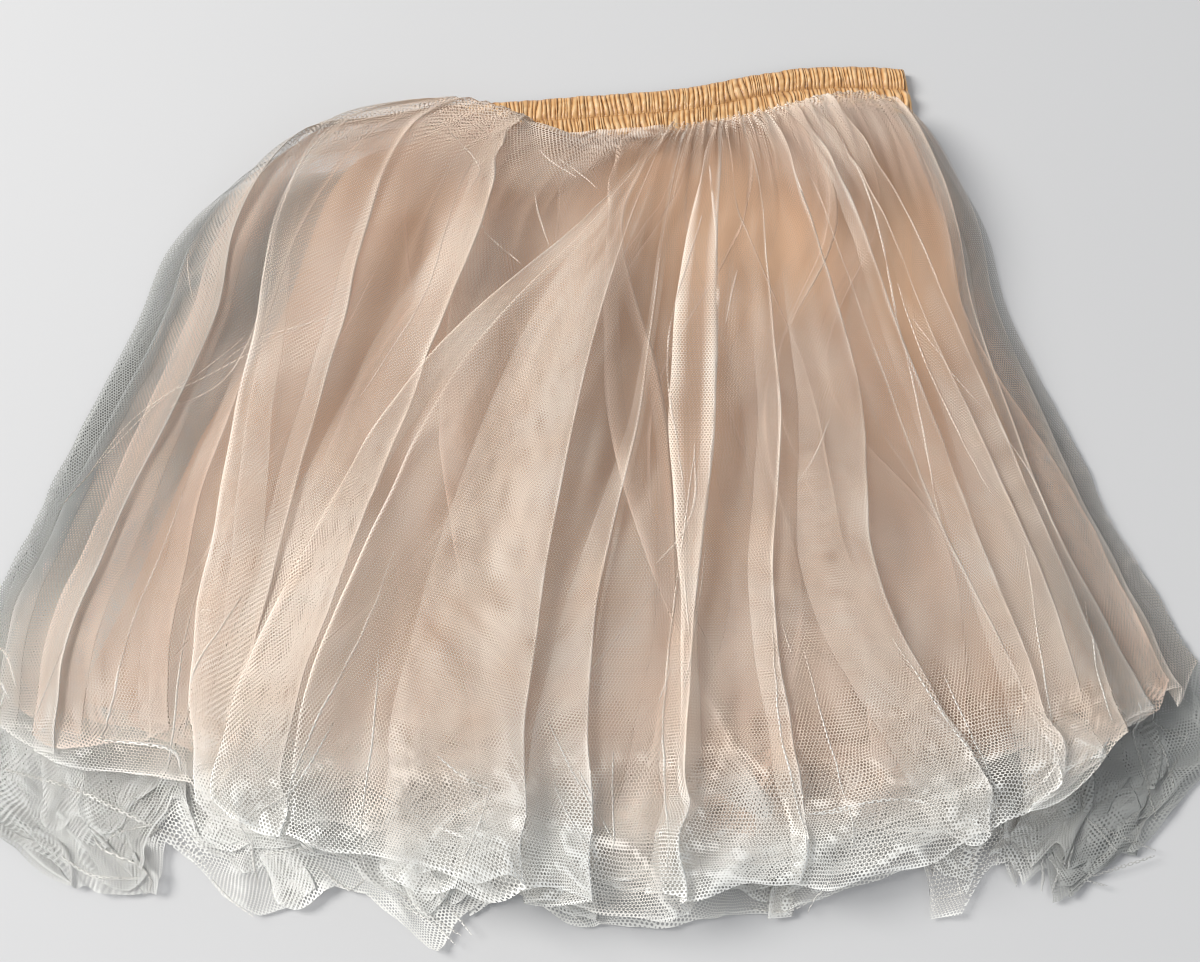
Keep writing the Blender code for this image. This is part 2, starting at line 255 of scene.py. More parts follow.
def tucked(places, heights, edges, t, seed):
    """The same knots with small tucks between them, which fade at their ends."""
    draw = np.random.default_rng(seed)
    wide = np.argmin(abs(t - WIDE_T))
    width = station("right_x", WIDE_T) - station("left_x", WIDE_T)
    knots = [(places[0], heights[0], edges[0])]
    for k in range(len(places) - 1):
        wall = abs(places[k + 1][wide] - places[k][wide]) * width
        count = int(wall / TUCK_EVERY)
        for i in range(count):
            share = (i + 0.5 + draw.uniform(-0.3, 0.3)) / count
            share = share + draw.uniform(-1.2, 1.2) / count * (t - 0.5) * (0.4 + (count > 1))
            share = np.clip(share, 0.04, 0.96)
            place = places[k] + share * (places[k + 1] - places[k])
            height = heights[k] + share * (heights[k + 1] - heights[k])
            start, length = draw.uniform(-0.15, 0.6), draw.uniform(0.25, 0.9)
            fade = ease((t - start) / TUCK_FADE) * ease((start + length - t) / TUCK_FADE)
            size = fade * draw.choice((-1, 1)) * draw.uniform(*TUCK_SIZES)
            rise = fade * draw.uniform(*TUCK_RISES)
            sharp = draw.choice((0.0, 0.8, 1.0))
            ahead = 1 if places[k + 1][wide] > places[k][wide] else -1
            raised, flat = (height + rise, sharp), (height, 0.0)
            sides = (raised, flat) if size[wide] > 0 else (flat, raised)
            knots.append((place + ahead * abs(size), *sides[0]))
            knots.append((place - ahead * abs(size), *sides[1]))
        knots.append((places[k + 1], heights[k + 1], edges[k + 1]))
    return tuple(np.array(column) for column in zip(*knots))


# ---------- meshes

BAKE_MARGIN = 0.004  # left free round the unwrapped sheet
EDGE_LINE = 0.0009  # half the width of the line at a fold's edge


def corner_values(left, right):
    """The values at each face's corners, from its left and its right side."""
    return np.stack((left[:, :-1], left[:, 1:], right[:, 1:], right[:, :-1]), axis=-1)


def add_uv(mesh, name, u, v):
    """Give the mesh a UV map from corner values."""
    layer = mesh.uv_layers.new(name=name)
    layer.data.foreach_set("uv", np.stack((u, v), axis=-1).astype(np.float32).ravel())


def sheet_mesh(name, points, corner_uv, extras=None, cyclic=False):
    """A mesh object from points[column, row, xyz], with UVs in metres of cloth and point values.

    corner_uv holds the cloth's u at the left and at the right side of each column of faces, which
    differ from one wall of a fold to the next, and its v at each point.
    """
    columns, rows = points.shape[:2]
    index = np.arange(columns * rows).reshape(columns, rows)
    if cyclic:
        index = np.vstack((index, index[:1]))
    a, b = index[:-1, :-1], index[1:, :-1]
    c, d = index[1:, 1:], index[:-1, 1:]
    quads = np.stack((a, d, c, b), axis=-1).reshape(-1, 4)
    mesh = bpy.data.meshes.new(name)
    mesh.vertices.add(columns * rows)
    mesh.vertices.foreach_set("co", points.astype(np.float32).ravel())
    mesh.loops.add(quads.size)
    mesh.loops.foreach_set("vertex_index", quads.astype(np.int32).ravel())
    mesh.polygons.add(len(quads))
    mesh.polygons.foreach_set("loop_start", np.arange(0, quads.size, 4, dtype=np.int32))
    mesh.update(calc_edges=True)
    left, right, v = corner_uv
    v_next = np.vstack((v, v[:1]))[1:] if cyclic else v[1:]
    v = v if cyclic else v[:-1]
    add_uv(mesh, "cloth", corner_values(left, right), corner_values(v, v_next))
    place = np.arange(columns + cyclic)[:, None] / (columns - 1 + cyclic) + 0 * np.arange(rows)
    down = np.arange(rows)[None, :] / (rows - 1) + 0 * place
    share = 1 - 2 * BAKE_MARGIN
    unwrapped = [corner_values(cell[:-1], cell[1:]) * share + BAKE_MARGIN for cell in (place, down)]
    add_uv(mesh, "OFBake", *unwrapped)
    for label, values in (extras or {}).items():
        attribute = mesh.attributes.new(label, "FLOAT", "POINT")
        attribute.data.foreach_set("value", values.astype(np.float32).ravel())
    mesh.validate()
    mesh.shade_smooth()
    made = bpy.data.objects.new(name, mesh)
    scene.collection.objects.link(made)
    return made


def plain_uv(u, v):
    """Corner UVs of a sheet whose u runs on without a break."""
    return u[:-1], u[1:], v


def softened(values, width):
    """values smoothed over width columns, with their ends kept."""
    if width < 0.3:
        return values
    reach = int(3 * width) + 1
    offsets = np.arange(-reach, reach + 1)
    kernel = np.exp(-0.5 * (offsets / width) ** 2)
    kernel /= kernel.sum()
    padded = np.concatenate((
        2 * values[:1] - values[reach:0:-1],
        values,
        2 * values[-1:] - values[-2 : -reach - 2 : -1],
    ))
    total = np.zeros_like(values)
    for offset, weight in zip(offsets, kernel):
        total += weight * padded[reach + offset : reach + offset + len(values)]
    return total


def cloth_path(folds, t, spacing):
    """The cloth's columns through its folds.

    The result holds s and height by column and row, how far across the cloth each column is where
    the skirt is wide, how far from the nearest knot, how sharp that is, and the corner u's.
    """
    places, heights, edges = tucked(*fold_knots(folds, t), t, 7 * len(folds))
    width = station("right_x", t) - station("left_x", t)
    spans = np.hypot(np.diff(places, axis=0) * width, np.diff(heights, axis=0))
    lengths = spans[:, np.argmin(abs(t - WIDE_T))]
    starts = np.concatenate(([0], np.cumsum(lengths)))
    draw = np.random.default_rng(len(folds))
    shares, across, left, right = [], [], [], []
    for k, length in enumerate(lengths):
        steps = max(2, round(length / spacing))
        near = min(EDGE_LINE / max(length, 1e-6), 0.4 / steps)
        r = np.concatenate(([0, near], np.arange(1, steps) / steps, [1 - near, 1]))[:, None]
        own = draw.uniform(0, 0.1) + (r - 0.5) * spans[k]
        shares.append(k + r[:-1, 0])
        across.append(starts[k] + r[:-1, 0] * length)
        left.append(own[:-1])
        right.append(own[1:])
    u = np.concatenate((*shares, [len(lengths)]))
    across = np.concatenate((*across, [starts[-1]]))
    k = np.minimum(u.astype(int), len(lengths) - 1)
    r = (u - k)[:, None]
    to_knot = abs(across[:, None] - starts[None, :])
    return SimpleNamespace(
        s=places[k] * (1 - r) + places[k + 1] * r,
        height=heights[k] * (1 - r) + heights[k + 1] * r,
        across=across[:, None],
        from_edge=to_knot.min(axis=1),
        sharp=edges[to_knot.argmin(axis=1)],
        left=np.concatenate(left),
        right=np.concatenate(right),
    )


# ---------- materials


class Nodes:
    """Short calls for a material's nodes."""

    def __init__(self, name):
        self.material = bpy.data.materials.new(name)
        self.material.use_nodes = True
        self.tree = self.material.node_tree
        self.surface = self.tree.nodes["Principled BSDF"]

    def add(self, kind, **settings):
        node = self.tree.nodes.new(kind)
        for key, value in settings.items():
            setattr(node, key, value)
        return node

    def link(self, source, target):
        self.tree.links.new(source, target)

    def maths(self, operation, *inputs, clamp=False):
        """The output of a maths node; inputs are numbers or outputs."""
        node = self.add("ShaderNodeMath", operation=operation, use_clamp=clamp)
        for socket, value in zip(node.inputs, inputs):
            if isinstance(value, (int, float)):
                socket.default_value = value
            else:
                self.link(value, socket)
        return node.outputs[0]

    def uv(self):
        """The cloth's own u and v, in metres."""
        node = self.add("ShaderNodeSeparateXYZ")
        self.link(self.add("ShaderNodeUVMap", uv_map="cloth").outputs[0], node.inputs[0])
        return node.outputs[0], node.outputs[1]

    def value(self, label):
        """A value that the mesh's points hold."""
        return self.add("ShaderNodeAttribute", attribute_name=label).outputs["Fac"]

    def noise(self, scale, detail=2.0):
        node = self.add("ShaderNodeTexNoise")
        node.inputs["Scale"].default_value = scale
        node.inputs["Detail"].default_value = detail
        self.link(self.add("ShaderNodeTexCoord").outputs["Object"], node.inputs["Vector"])
        return node.outputs["Fac"]

    def mixed(self, share, first, second, blend="MIX"):
        """The first colour where share is 0, and the second, or the blend, where it is 1."""
        node = self.add("ShaderNodeMix", data_type="RGBA", blend_type=blend)
        for socket, colour in ((node.inputs[6], first), (node.inputs[7], second)):
            if isinstance(colour, tuple):
                socket.default_value = (*colour, 1.0)
            else:
                self.link(colour, socket)
        self.link(share, node.inputs[0])
        return node.outputs[2]

    def satin(self, height, strength, roughness):
        """Finish the surface as satin: fine bumps, its roughness and a slight sheen."""
        bumps = self.add("ShaderNodeBump")
        bumps.inputs["Strength"].default_value = strength
        bumps.inputs["Distance"].default_value = 0.0002
        self.link(height, bumps.inputs["Height"])
        self.link(bumps.outputs[0], self.surface.inputs["Normal"])
        self.surface.inputs["Roughness"].default_value = roughness
        self.surface.inputs["Sheen Weight"].default_value = 0.2


NET_PITCH = 0.0016  # from one hole to the next in a row
NET_ROW = 0.001386  # from one row of holes to the next
THREAD_SOFT = 0.30  # how soft a thread's edge is
EDGE_THICKENING = 3.2  # how much threads crowd at a fold's edge
# Painted shade on the round threads: each thread's colour is darkened towards its sides, beside the holes.
THREAD_SHADE_REACH = 0.6  # how soon a thread has its full colour
THREAD_SIDE_SHADE = (0.74, 0.69, 0.65)  # what its side's colour is multiplied by
COOL = (0.93, 0.935, 0.90)  # the threads where the net lies off the lining
DIM = (0.33, 0.34, 0.33)  # and where a single net lies in shade
LINING_WEFT, BAND_WEFT = 0.0005, 0.0004  # from one weft thread to the next


def net_material(name, pale, warm, thread_level):
    """A hexagonal net: threads where three crossing waves are low, clear holes between, and painted shade
    on the threads' sides.
    """
    nodes = Nodes(name)
    u, v = nodes.uv()
    p = nodes.maths("MULTIPLY", u, math.tau / NET_PITCH)
    q = nodes.maths("MULTIPLY", v, math.pi / NET_ROW)
    rising = nodes.maths("COSINE", nodes.maths("ADD", p, q))
    falling = nodes.maths("COSINE", nodes.maths("SUBTRACT", p, q))
    level = nodes.maths("COSINE", nodes.maths("MULTIPLY", q, 2.0))
    hole = nodes.maths("ADD", nodes.maths("ADD", rising, falling), level)
    limit = nodes.maths("MULTIPLY_ADD", nodes.value("edge"), EDGE_THICKENING, thread_level)
    thread = nodes.maths("SUBTRACT", limit, hole)
    alpha = nodes.maths("MULTIPLY_ADD", thread, 1 / THREAD_SOFT, 0.5, clamp=True)
    nodes.link(alpha, nodes.surface.inputs["Alpha"])
    warmed = nodes.mixed(nodes.value("tone"), pale, warm)
    cooled = nodes.mixed(nodes.value("cool"), warmed, COOL)
    dimmed = nodes.mixed(nodes.value("dim"), cooled, DIM)
    # painted shade: the colour darkens from the thread's middle to its sides
    rounded = nodes.maths("MULTIPLY", thread, 1 / THREAD_SHADE_REACH, clamp=True)
    side_shaded_thread = nodes.mixed(nodes.maths("SUBTRACT", 1.0, rounded), dimmed, THREAD_SIDE_SHADE, "MULTIPLY")
    nodes.link(side_shaded_thread, nodes.surface.inputs["Base Color"])
    nodes.surface.inputs["Roughness"].default_value = 0.55
    nodes.surface.inputs["Specular IOR Level"].default_value = 0.35
    return nodes.material


def satin_material(name, pale, deep, roughness, scale):
    """Close satin: fine weft lines, soft shading and a sheen."""
    nodes = Nodes(name)
    _, v = nodes.uv()
    weft = nodes.maths("SINE", nodes.maths("MULTIPLY", v, math.tau / LINING_WEFT))
    cloud = nodes.noise(scale, 4.0)
    share = nodes.maths("MULTIPLY_ADD", weft, 0.06, cloud, clamp=True)
    nodes.link(nodes.mixed(share, deep, pale), nodes.surface.inputs["Base Color"])
    nodes.satin(weft, 0.25, roughness)
    return nodes.material


# ---------- the panels

CLOTH = 0.001  # the solids' wall
BACK_PITCH, FRONT_PITCH = 0.0013, 0.0017  # from one layer to the next
LAYER_POWERS = ((12.0, 4.0), (18.0, 4.5), (34.0, 8.0), (8.0, 4.0))  # how square a dome is: waist, hem
LAYER_LOFTS = (1.00, 0.66, 0.34, 0.05)  # each front's share of the crown's height
WAIST_GATHERS = 46  # soft gathers near the waist

# The hems, as (s, t) of the cut edge, in thousandths.
FRONT_HEM = (
    (0, 820), (30, 870), (60, 885), (100, 885), (150, 905), (190, 900),
    (230, 930), (290, 950), (350, 965), (420, 985), (500, 1000), (600, 1003),
    (700, 995), (780, 980), (830, 965), (880, 935), (940, 905), (1000, 850),
)
BACK_HEM = (
    (0, 930), (5, 985), (20, 1010), (40, 1034), (75, 1030), (125, 1020), (150, 985),
    (172, 945), (180, 970), (190, 1012), (210, 1022), (250, 1007), (285, 984), (315, 986),
    (335, 1010), (360, 1046), (380, 1018), (410, 990), (430, 978), (470, 1003), (500, 1014),
    (530, 1022), (580, 1016), (625, 1015), (675, 1017), (700, 1012), (735, 1004), (768, 1006),
    (774, 1060), (801, 1066), (809, 1018), (830, 1008), (852, 1046), (866, 1030), (889, 1074),
    (905, 1062), (930, 1040), (955, 1050), (975, 1020), (1000, 945),
)

# Where the net lies closer: place, spread in s and t, and by how much.
PATCH_COLUMNS = ("s", "t", "wide", "long", "amount")
CLOSE_PATCHES = (
    (0.20, 0.02, 0.24, 0.17, 0.34),
    (0.80, 0.04, 0.24, 0.20, 0.12),
    (0.46, 0.14, 0.09, 0.22, -0.07),
    (0.068, 0.32, 0.030, 0.34, 0.22),
    (0.000, 0.54, 0.060, 0.52, 0.34),
    (0.165, 0.38, 0.050, 0.30, 0.12),
    (0.50, 0.97, 0.34, 0.10, 0.05),
    (0.60, 0.20, 0.14, 0.22, -0.13),
    (0.70, 0.26, 0.09, 0.18, -0.10),
    (0.285, 0.26, 0.05, 0.20, 0.13),
    (0.85, 0.28, 0.10, 0.26, -0.12),
    (0.32, 0.42, 0.05, 0.34, 0.13),
    (0.42, 0.45, 0.07, 0.45, 0.16),
    (0.24, 0.72, 0.10, 0.24, 0.10),
)

# Where the net is warmer: its own peach, and in the second row painted shade, darker and warmer on the
# right slope away from the key light.
PEACH_AND_SHADE_PATCHES = (
    (0.20, 0.10, 0.22, 0.26, 1.0),
    # painted shade on the right slope, away from the key light
    (0.86, 0.26, 0.12, 0.34, 0.4),
    (0.070, 0.32, 0.035, 0.36, 1.0),
)

PANEL_COLUMNS = (
    "node", "front", "depth", "net", "seed", "hem_shift", "hem_wander", "spacing", "rows",
    "first_s", "last_s", "gather", "crumple",
)
PANELS = (
    ("tulle_outer_front", True, 0, "outer", 11, 0.0, 0.018, 0.0022, 112, 0.00, 1.00, 1.0, 1.0),
    ("tulle_middle_front", True, 1, "middle", 23, -0.035, 0.028, 0.0030, 90, 0.03, 0.97, 1.0, 0.8),
    ("tulle_inner_front", True, 2, "inner", 37, -0.070, 0.026, 0.0036, 76, 0.07, 0.935, 1.0, 0.7),
    ("tulle_outer_back", False, 0, "outer", 41, 0.0, 0.006, 0.0030, 100, 0.00, 1.00, 0.5, 1.0),
    ("tulle_middle_back", False, 1, "outer", 53, -0.030, 0.022, 0.0034, 90, 0.015, 0.985, 0.5, 1.0),
    ("tulle_inner_back", False, 2, "outer", 67, -0.080, 0.026, 0.0036, 76, 0.06, 0.94, 0.5, 0.8),
)
PANEL_FOLDS = {
    "tulle_outer_front": OUTER_FRONT_FOLDS,
    "tulle_middle_front": MIDDLE_LEFT_FOLDS + loose_folds(6, 5, 0.006, first=0.15, slant=0.9, widest=0.70),
    "tulle_inner_front": loose_folds(4, 8, 0.005, slant=0.9),
    "tulle_outer_back": loose_folds(8, 3, 0.003),
    "tulle_middle_back": loose_folds(6, 4, 0.003),
    "tulle_inner_back": loose_folds(5, 9, 0.003),
}
LEFT_FOLD = 0.070  # s of the doubled fold near the left side
GAP_PLACE = (0.113, 0.30)  # s and t of the shaded gap beside the left fold
LOW_CLOSING = 0.12  # how much closer the net looks in the lower half
SCRAP_CLOSING = 0.06  # and where a scrap of it lies doubled
UNEVEN_CLOSING = 0.035  # and how unevenly it lies everywhere
SHIRR_GATHERS = 128  # fine gathers beside the waistband
SHIRR_REACH = 0.09  # how far down they run
PUFF_CLEAR = 1.4  # how much higher than the solids' puffs the nets' are
PUFF_SHARES = (1.0, 0.86, 0.70)  # of the outer net's puff, for each front net
FOLD_SOFTNESS = 0.0013  # how far a fold's edge is rounded
WAIST_FADE = 0.30  # how far down the soft gathers run, in t
LEFT_SPREAD = 0.016  # how far the left's loose net passes the solid's edge


def beyond(s, t):
    """layout() for the nets: spread at the left, and carried on past t = 1."""
    x, y = layout(s, np.minimum(t, 1.0))
    x = x - LEFT_SPREAD * (1 - ease(s / 0.30)) * ease(t / 0.12) * (1 - ease((t - 0.70) / 0.20))
    end_x, end_y = layout(s, np.ones_like(t))
    near_x, near_y = layout(s, np.full_like(t, 0.96))
    over = np.maximum(t - 1.0, 0.0) / 0.04
    return x + over * (end_x - near_x), y + over * (end_y - near_y)


def front_height(depth, s, t):
    """A front's plain dome without its folds, as in the CAD."""
    waist_power, hem_power = LAYER_POWERS[depth]
    power = waist_power + (hem_power - waist_power) * ease(2 * t)
    dome = 1 - np.clip(abs(2 * s - 1), 0, 1) ** power
    stack = (3 - depth) * (BACK_PITCH + FRONT_PITCH)
    base = CLOTH + (depth + 1) * BACK_PITCH
    return base + dome * (stack + LAYER_LOFTS[depth] * station("crown", np.minimum(t, 1.0))), dome


def patched(rows, s, t):
    """The sum of the patches at s and t."""
    total = 0.0
    for row in rows:
        patch = named(PATCH_COLUMNS, row)
        amount = patch.amount * bump(s - patch.s, patch.wide)
        total = total + amount * bump(t - patch.t, patch.long)
    return total


def aside(s):
    """How far s lies at the sides of the skirt, off the lining."""
    return 1 - ease((s - 0.05) / 0.10) * ease((0.985 - s) / 0.05)


def shaded(panel, s, t):
    """How much of the panel's net lies singly and in shade, above the hem."""
    if not panel.front:
        return 0.7 + 0.3 * ease((s - 0.8) / 0.1)
    if panel.depth:
        return 0.7 * bump(s - GAP_PLACE[0], 0.035) * bump(t - GAP_PLACE[1], 0.24)
    at_side = (1.0 - 0.48 * s) * aside(s) * ease((t - 0.05) / 0.10)
    at_side = at_side * (1 - 0.45 * bump(s - LEFT_FOLD, 0.03))
    return np.maximum(at_side, 0.6 * bump(s - 0.93, 0.06) * bump(t - 0.80, 0.24))


def run_down(panel, s, t):
    """How far down the cloth each point lies, in metres, on the plain form."""
    plain = np.array(beyond(s, t))
    if panel.front:
        push, lift = puff(s, t)
        share = PUFF_SHARES[panel.depth]
        plain = np.array((plain[0], plain[1] + share * push, share * lift))
    steps = np.sqrt((np.diff(plain, axis=2) ** 2).sum(axis=0))
    return np.concatenate((np.zeros((len(s), 1)), np.cumsum(steps, axis=1)), axis=1)


def laid_cloth(panel):
    """The panel's columns and rows on the skirt, and its own unevenness."""
    seed, spacing = panel.seed, panel.spacing
    tau = 1 - (1 - np.linspace(0, 1, panel.rows)) ** 1.3
    cloth = cloth_path(PANEL_FOLDS[panel.node], tau, spacing)
    across, soften = cloth.across, FOLD_SOFTNESS / spacing
    s = panel.first_s + softened(cloth.s, soften) * (panel.last_s - panel.first_s)
    hem_s, hem_t = np.array(FRONT_HEM if panel.front else BACK_HEM).T / 1000
    end = np.interp(s[:, -1:], hem_s, hem_t) + panel.hem_shift
    end = end + panel.hem_wander * waves(across, 0.0, seed + 1, 0.16, 0.03)
    t = tau[None, :] * end
    down = t * LENGTH
    cloth.s, cloth.t, cloth.down = s, t, down
    cloth.height = softened(cloth.height, soften)
    cloth.to_hem = (1 - tau)[None, :] * end * LENGTH
    cloth.flat = float(across[-1, 0]), float(LENGTH * (np.mean(hem_t) + panel.hem_shift))
    cloth.soft = waves(across, down, seed + 2, 0.20, 0.05)
    cloth.fine = waves(across, down, seed + 3, 0.07, 0.014)
    cloth.pinched = 1 - 2.2 * abs(waves(across, down, seed + 5, 0.08, 0.02))
    at_side = (1 - ease(s / 0.05) * ease((1 - s) / 0.05)) * ease((t - 0.4) / 0.3)
    cloth.crumple = panel.crumple * np.maximum(ease((t - 0.78) / 0.20), 0.6 * at_side)
    twist = 2.5 * waves(s * 0.5, t, seed + 9, 0.10, 0.02)
    cloth.shirr = np.sin(math.tau * SHIRR_GATHERS * s + twist)
    cloth.shirr_fade = 1 - ease(t / SHIRR_REACH)
    return cloth


def net_points(panel, cloth):
    """The panel's points: gathered at the waist, folded, and crumpled at the hem."""
    s, t, fine, hem = cloth.s, cloth.t, cloth.fine, cloth.crumple
    fade = 1 - ease(t / WAIST_FADE)
    phase = math.tau * WAIST_GATHERS * s + 1.3 * np.sin(17 * s) + panel.seed
    x, y = beyond(s + panel.gather * 0.0035 * fade * np.cos(phase), t)
    if panel.front:
        base, dome = front_height(panel.depth, s, t)
        push, lift = puff(s, t)
        share = PUFF_SHARES[panel.depth]
        gathers = 0.0016 * panel.gather * fade * np.sin(phase)
        z = base + cloth.height * dome**0.5 + (gathers + 0.0020 * cloth.soft) * dome
        y = y + share * push
        crumples = hem * (0.0018 * fine + 0.0022 * cloth.pinched)
        z = z + share * PUFF_CLEAR * lift + crumples * (0.25 + 0.75 * dome)
    else:
        base = 0.0008 + panel.depth * BACK_PITCH
        crumples = 0.0014 * abs(fine) + 0.0024 * np.maximum(cloth.pinched, 0)
        z = base + cloth.height + 0.0005 * abs(cloth.soft) + hem * crumples
    x = x + hem * 0.0035 * waves(cloth.across, cloth.down, panel.seed + 4, 0.08, 0.02)
    y = y + hem * 0.0030 * fine
    z = np.maximum(z, 0.0003)
    z = z + 0.0004 * cloth.shirr_fade * cloth.shirr
    return np.stack((x, y, z), axis=-1)


def net_closeness(panel, cloth):
    """How close the threads look: at folds, gathers, the hem and crushed places."""
    s, t, across, down, seed = cloth.s, cloth.t, cloth.across, cloth.down, panel.seed
    edge = (np.exp(-0.5 * (cloth.from_edge / (0.7 * EDGE_LINE)) ** 2) * cloth.sharp)[:, None]
    uneven = 0.62 + 0.50 * waves(7 * across, down, seed + 8, 0.20, 0.03)
    edge = 1.08 * edge * (0.35 + 0.65 * ease(t / 0.2)) * np.clip(uneven, 0.15, 1.0)
    edge = np.maximum(edge, 0.42 * cloth.shirr_fade * ease((cloth.shirr - 0.2) / 0.8))
    edge = np.maximum(edge, 0.50 * np.exp(-0.5 * (cloth.to_hem / EDGE_LINE) ** 2))
    edge = np.maximum(edge, 0.8 * cloth.crumple * ease((cloth.pinched - 0.84) / 0.15))
    lower = LOW_CLOSING * ease((t - 0.45) / 0.35)
    if not panel.front:
        low_middle = 0.30 * bump(s - 0.40, 0.36) * ease((t - 0.84) / 0.1)
        low_right = 0.30 * ease((s - 0.82) / 0.08) * ease((t - 0.80) / 0.1)
        return edge + (0.16 * aside(s) + low_middle + low_right) + lower
    scraps = ease((waves(4 * across, down, seed + 10, 0.40, 0.12) - 0.25) / 0.10)
    uneven = waves(3 * across, down, seed + 12, 0.09, 0.03)
    return edge + patched(CLOSE_PATCHES, s, t) + lower + SCRAP_CLOSING * scraps + UNEVEN_CLOSING * uneven


def net_colours(panel, cloth):
    """How warm the net is (tone, with painted shade on the right slope), how far off the lining (cool) and
    how much in shade (dim).
    """
    s, t = cloth.s, cloth.t
    tone = 0.5 + 0.5 * waves(cloth.across, cloth.down, panel.seed + 6, 0.12, 0.02)
    lining_end = 0.79 + 0.05 * ease((s - 0.35) / 0.2) + 0.04 * cloth.soft
    cool = np.maximum(0.2 * aside(s), ease((t - lining_end) / 0.15))
    at_left = (0.45 + 0.5 * (1 - ease(s / 0.05))) * (1 - ease((s - 0.13) / 0.06))
    at_ends = 0.95 * ease((s - 0.8) / 0.1) + at_left
    return {
        "tone": np.clip(tone + 0.6 * patched(PEACH_AND_SHADE_PATCHES, s, t), 0, 1.3),
        "cool": cool if panel.front else np.ones(s.shape),
        "dim": shaded(panel, s, t) * (1 - (1 - at_ends) * ease((t - 0.62) / 0.16)),
    }


def net_panel(panel):
    """One panel of net, front or back: the piece and its cut's width and length."""
    cloth = laid_cloth(panel)
    corner_uv = cloth.left, cloth.right, run_down(panel, cloth.s, cloth.t)
    values = {"edge": net_closeness(panel, cloth), **net_colours(panel, cloth)}
    name = panel.node.replace("tulle_", "net_")
    piece = sheet_mesh(name, net_points(panel, cloth), corner_uv, values)
    return piece, cloth.flat


# The middle and inner nets are warmer and darker than the outer one: partly their own colour, partly
# painted shade for the layers that lie beneath it.
NETS = {  # pale colour, warm colour and thread level
    "outer": ((0.97, 0.87, 0.77), (0.95, 0.78, 0.64), -1.23),
    "middle": ((0.88, 0.71, 0.58), (0.84, 0.61, 0.47), -1.12),
    "inner": ((0.82, 0.61, 0.47), (0.77, 0.51, 0.36), -1.05),
}
nets = {key: net_material(f"net_{key}", *row) for key, row in NETS.items()}
panels = {}
for row in PANELS:
    panel = named(PANEL_COLUMNS, row)
    panels[panel.node] = panel.net, *net_panel(panel)

# ---------- pinched creases

# Thin pinched creases on the outer net's front, each through three places, in thousandths of s
# and t. They were marked by eye in the photograph, and a separate script turned most of the marks
# into s and t.
CREASE_COLUMNS = ("s0", "t0", "s1", "t1", "s2", "t2", "width_mm")
CREASES = (
    (285, 210, 320, 240, 355, 270, 1.2), (305, 90, 343, 110, 380, 130, 1.0),
    (340, 160, 360, 200, 380, 240, 1.0), (340, 100, 378, 120, 415, 150, 0.9),
    (260, 150, 270, 310, 235, 460, 0.9), (185, 370, 120, 410, 100, 450, 0.8),
    (100, 80, 120, 410, 80, 490, 1.0), (205, 110, 270, 150, 275, 190, 0.9),
    (35, 280, 45, 320, 55, 350, 0.9), (165, 380, 60, 490, 30, 590, 0.9),
    (115, 400, 60, 500, 20, 620, 0.8), (565, 120, 590, 350, 585, 580, 1.8),
    (560, 210, 535, 380, 560, 550, 1.2), (775, 100, 815, 390, 810, 630, 1.2),
    (820, 340, 850, 500, 870, 610, 1.0), (835, 390, 915, 560, 925, 670, 0.9),
    (715, 490, 695, 530, 675, 560, 0.8), (610, 290, 605, 320, 600, 360, 0.8),
    (120, 590, 125, 800, 120, 870, 1.3), (160, 680, 175, 830, 175, 890, 1.1),
    (200, 700, 185, 790, 185, 850, 1.2), (115, 870, 175, 870, 185, 890, 1.6),
    (80, 780, 73, 820, 65, 860, 0.9), (310, 640, 300, 760, 270, 910, 1.2),
    (320, 750, 330, 840, 325, 950, 0.9), (300, 830, 280, 890, 250, 920, 1.0),
    (340, 900, 390, 930, 450, 960, 1.4), (380, 860, 400, 880, 420, 890, 1.1),
    (420, 890, 410, 930, 400, 960, 0.9), (165, 730, 175, 720, 185, 720, 0.9),
    (460, 820, 480, 870, 500, 920, 0.8), (570, 510, 570, 590, 540, 640, 1.3),
    (570, 520, 550, 790, 550, 970, 1.2), (540, 670, 490, 760, 500, 780, 0.8),
    (640, 730, 640, 860, 655, 970, 1.0), (665, 760, 677, 870, 690, 970, 0.8),
    (740, 760, 775, 880, 800, 960, 1.1), (650, 930, 725, 930, 765, 960, 1.3),
    (885, 680, 860, 810, 850, 890, 1.0), (920, 760, 900, 840, 895, 900, 0.9),
    (465, 880, 480, 920, 495, 950, 0.8), (510, 850, 510, 910, 510, 960, 0.8),
    (775, 810, 788, 890, 800, 960, 0.9), (565, 660, 568, 700, 570, 730, 0.9),
    (585, 620, 575, 720, 565, 790, 1.0), (555, 760, 550, 780, 545, 800, 0.8),
    (485, 870, 500, 910, 510, 940, 0.9), (655, 930, 675, 932, 695, 930, 0.9),
    (650, 720, 652, 740, 655, 760, 0.8),
)
